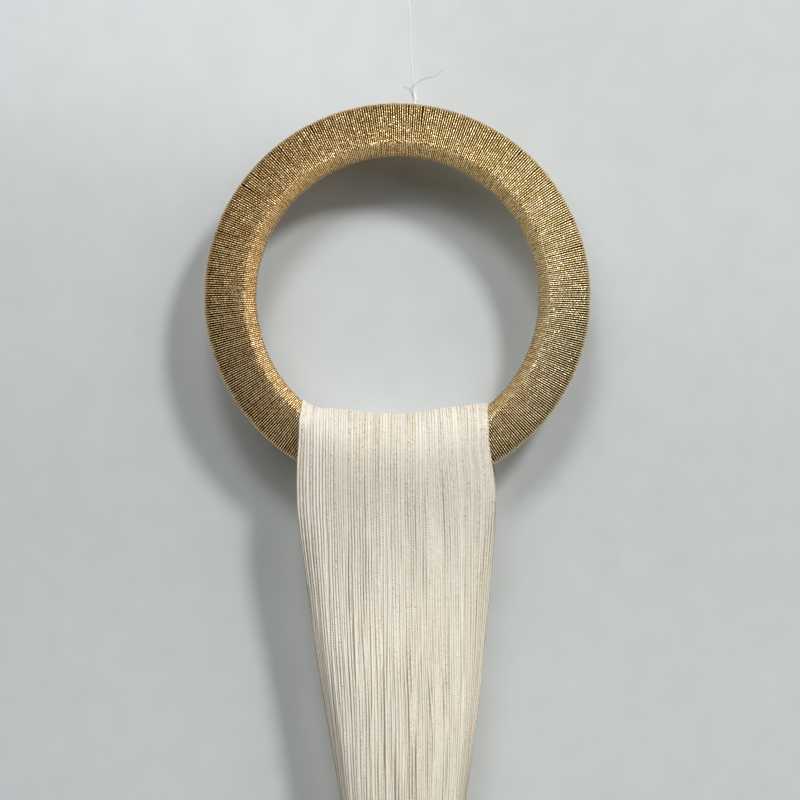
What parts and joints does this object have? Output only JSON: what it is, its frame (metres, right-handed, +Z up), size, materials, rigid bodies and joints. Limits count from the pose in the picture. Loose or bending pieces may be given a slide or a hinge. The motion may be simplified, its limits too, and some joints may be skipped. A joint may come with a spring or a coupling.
{
  "type": "macrame wall hanging with wound ring",
  "caption": "Flat ring closely wound with gold cord, a thick hank of off-white yarn folded over it, gathered by a binding into a tail, hung on a thin thread.",
  "frame": {"origin": "inside top of the thread's hanging loop, where the hook carries it", "axes": "+Z up, +X to the right as seen from the front, the front towards -Y, the ring's axis along Y"},
  "size_m": [0.199, 0.0602, 0.7045],
  "materials": {
    "gold_cord": "fine twisted metallic cord, glinting, wound side by side",
    "cotton_yarn": "matt off-white cotton yarn, softly twisted",
    "white_thread": "thin white thread, slightly glossy"
  },
  "bodies": {
    "root": {"wrapped_ring": "gold_cord", "yarn_hank": "cotton_yarn", "gather_wrap": "cotton_yarn", "hanging_thread": "white_thread", "thread_knot": "white_thread", "loop_knot": "white_thread", "hook_loop": "white_thread", "thread_end_left": "white_thread", "thread_end_right": "white_thread", "thread_end_up": "white_thread"}
  },
  "joints": []
}
